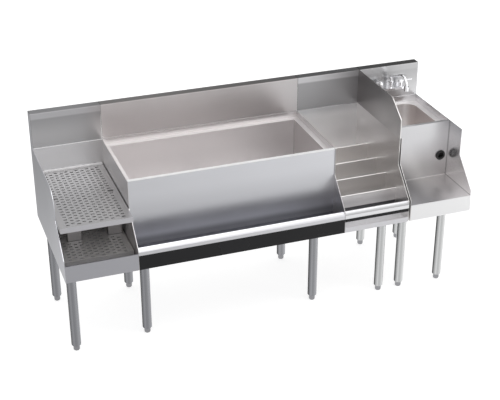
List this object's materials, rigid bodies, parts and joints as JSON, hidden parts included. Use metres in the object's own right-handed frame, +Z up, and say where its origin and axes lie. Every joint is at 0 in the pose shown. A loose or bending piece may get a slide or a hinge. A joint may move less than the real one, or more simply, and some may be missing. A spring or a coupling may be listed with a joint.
{
  "type": "underbar cocktail station",
  "caption": "Stainless underbar station: drainboard over glass storage, ice bin with bottle rail, tiered bottle display and a small sink with a blender shelf, on tubular legs.",
  "frame": {"origin": "centre of the footprint at floor level, under the legs' feet", "axes": "+X along the station to its right end, +Y from the apron to the wall behind the splash, +Z up"},
  "size_m": [1.8288, 0.6096, 0.9325],
  "materials": {
    "satin_steel": "satin brushed stainless sheet",
    "bright_steel": "bright turned stainless",
    "leg_tube": "polished stainless tube",
    "foot_steel": "turned steel",
    "chrome": "polished chrome plate",
    "brass": "machined brass",
    "plated_steel": "zinc plated",
    "bumper": "smooth black moulding",
    "rubber": "matt black rubber",
    "foam": "closed-cell foam"
  },
  "bodies": {
    "station": {"left_end_panel": "satin_steel", "drainboard_side_panel": "satin_steel", "bin_side_panel": "satin_steel", "display_side_panel": "satin_steel", "blender_side_panel": "satin_steel", "right_end_panel": "satin_steel", "drainboard_splash": "satin_steel", "bin_splash": "satin_steel", "display_splash": "satin_steel", "blender_splash": "satin_steel", "drainboard_pan": "satin_steel", "drainboard_drain": "bright_steel", "glass_shelf_pan": "satin_steel", "glass_shelf_drain": "bright_steel", "left_upright": "satin_steel", "right_upright": "satin_steel", "bin_casing": "satin_steel", "bin_liner": "satin_steel", "bin_insulation": "foam", "bin_drain": "bright_steel", "bin_rail": "satin_steel", "bin_rail_bumper": "bumper", "bottle_steps": "satin_steel", "display_rail": "satin_steel", "display_guard": "satin_steel", "display_bumper": "bumper", "splash_divider": "satin_steel", "sink_bowl": "satin_steel", "sink_front": "satin_steel", "blender_shelf": "satin_steel", "cord_grommet": "rubber", "sink_drain": "bright_steel", "sink_drain_nut": "bright_steel", "faucet_body": "chrome", "spout_nut": "chrome", "faucet_nuts": "brass", "seam_bolts": "plated_steel", "seam_spacers": "plated_steel", "front_leg_rail": "satin_steel", "rear_leg_rail": "satin_steel", "legs": "leg_tube"},
    "drainboard_insert": {"drainboard_insert": "satin_steel"},
    "glass_shelf_insert": {"glass_shelf_insert": "satin_steel"},
    "bin_strainer": {"bin_strainer": "bright_steel"},
    "sink_strainer": {"sink_strainer": "bright_steel"},
    "spout": {"faucet_spout": "chrome", "aerator": "chrome"},
    "left_handle": {"left_handle": "chrome"},
    "right_handle": {"right_handle": "chrome"},
    "drainboard_front_foot": {"drainboard_front_foot": "foot_steel"},
    "drainboard_rear_foot": {"drainboard_rear_foot": "foot_steel"},
    "bin_left_front_foot": {"bin_left_front_foot": "foot_steel"},
    "bin_left_rear_foot": {"bin_left_rear_foot": "foot_steel"},
    "bin_right_front_foot": {"bin_right_front_foot": "foot_steel"},
    "bin_right_rear_foot": {"bin_right_rear_foot": "foot_steel"},
    "display_front_foot": {"display_front_foot": "foot_steel"},
    "sink_left_front_foot": {"sink_left_front_foot": "foot_steel"},
    "sink_left_rear_foot": {"sink_left_rear_foot": "foot_steel"},
    "sink_right_front_foot": {"sink_right_front_foot": "foot_steel"},
    "sink_right_rear_foot": {"sink_right_rear_foot": "foot_steel"}
  },
  "joints": [
    {"name": "drainboard_insert_lift", "type": "slide", "parent": "station", "child": "drainboard_insert", "axis": [0, 0, 1], "range_m": [0, 0.1]},
    {"name": "glass_insert_lift", "type": "slide", "parent": "station", "child": "glass_shelf_insert", "axis": [0, 0, 1], "range_m": [0, 0.02]},
    {"name": "bin_strainer_lift", "type": "slide", "parent": "station", "child": "bin_strainer", "axis": [0, 0, 1], "range_m": [0, 0.2]},
    {"name": "sink_strainer_lift", "type": "slide", "parent": "station", "child": "sink_strainer", "axis": [0, 0, 1], "range_m": [0, 0.1]},
    {"name": "spout_swing", "type": "hinge", "parent": "station", "child": "spout", "pos_m": [0.762, 0.2358, 0.86], "axis": [0, 0, 1], "range_deg": [-55, 55]},
    {"name": "left_handle_turn", "type": "hinge", "parent": "station", "child": "left_handle", "pos_m": [0.7112, 0.2358, 0.848], "axis": [0, 0, 1], "range_deg": [0, 90]},
    {"name": "right_handle_turn", "type": "hinge", "parent": "station", "child": "right_handle", "pos_m": [0.8128, 0.2358, 0.848], "axis": [0, 0, -1], "range_deg": [0, 90]},
    {"name": "drainboard_front_foot_screw_out", "type": "slide", "parent": "station", "child": "drainboard_front_foot", "axis": [0, 0, -1], "range_m": [0, 0.025]},
    {"name": "drainboard_rear_foot_screw_out", "type": "slide", "parent": "station", "child": "drainboard_rear_foot", "axis": [0, 0, -1], "range_m": [0, 0.025]},
    {"name": "bin_left_front_foot_screw_out", "type": "slide", "parent": "station", "child": "bin_left_front_foot", "axis": [0, 0, -1], "range_m": [0, 0.025]},
    {"name": "bin_left_rear_foot_screw_out", "type": "slide", "parent": "station", "child": "bin_left_rear_foot", "axis": [0, 0, -1], "range_m": [0, 0.025]},
    {"name": "bin_right_front_foot_screw_out", "type": "slide", "parent": "station", "child": "bin_right_front_foot", "axis": [0, 0, -1], "range_m": [0, 0.025]},
    {"name": "bin_right_rear_foot_screw_out", "type": "slide", "parent": "station", "child": "bin_right_rear_foot", "axis": [0, 0, -1], "range_m": [0, 0.025]},
    {"name": "display_front_foot_screw_out", "type": "slide", "parent": "station", "child": "display_front_foot", "axis": [0, 0, -1], "range_m": [0, 0.025]},
    {"name": "sink_left_front_foot_screw_out", "type": "slide", "parent": "station", "child": "sink_left_front_foot", "axis": [0, 0, -1], "range_m": [0, 0.025]},
    {"name": "sink_left_rear_foot_screw_out", "type": "slide", "parent": "station", "child": "sink_left_rear_foot", "axis": [0, 0, -1], "range_m": [0, 0.025]},
    {"name": "sink_right_front_foot_screw_out", "type": "slide", "parent": "station", "child": "sink_right_front_foot", "axis": [0, 0, -1], "range_m": [0, 0.025]},
    {"name": "sink_right_rear_foot_screw_out", "type": "slide", "parent": "station", "child": "sink_right_rear_foot", "axis": [0, 0, -1], "range_m": [0, 0.025]}
  ]
}
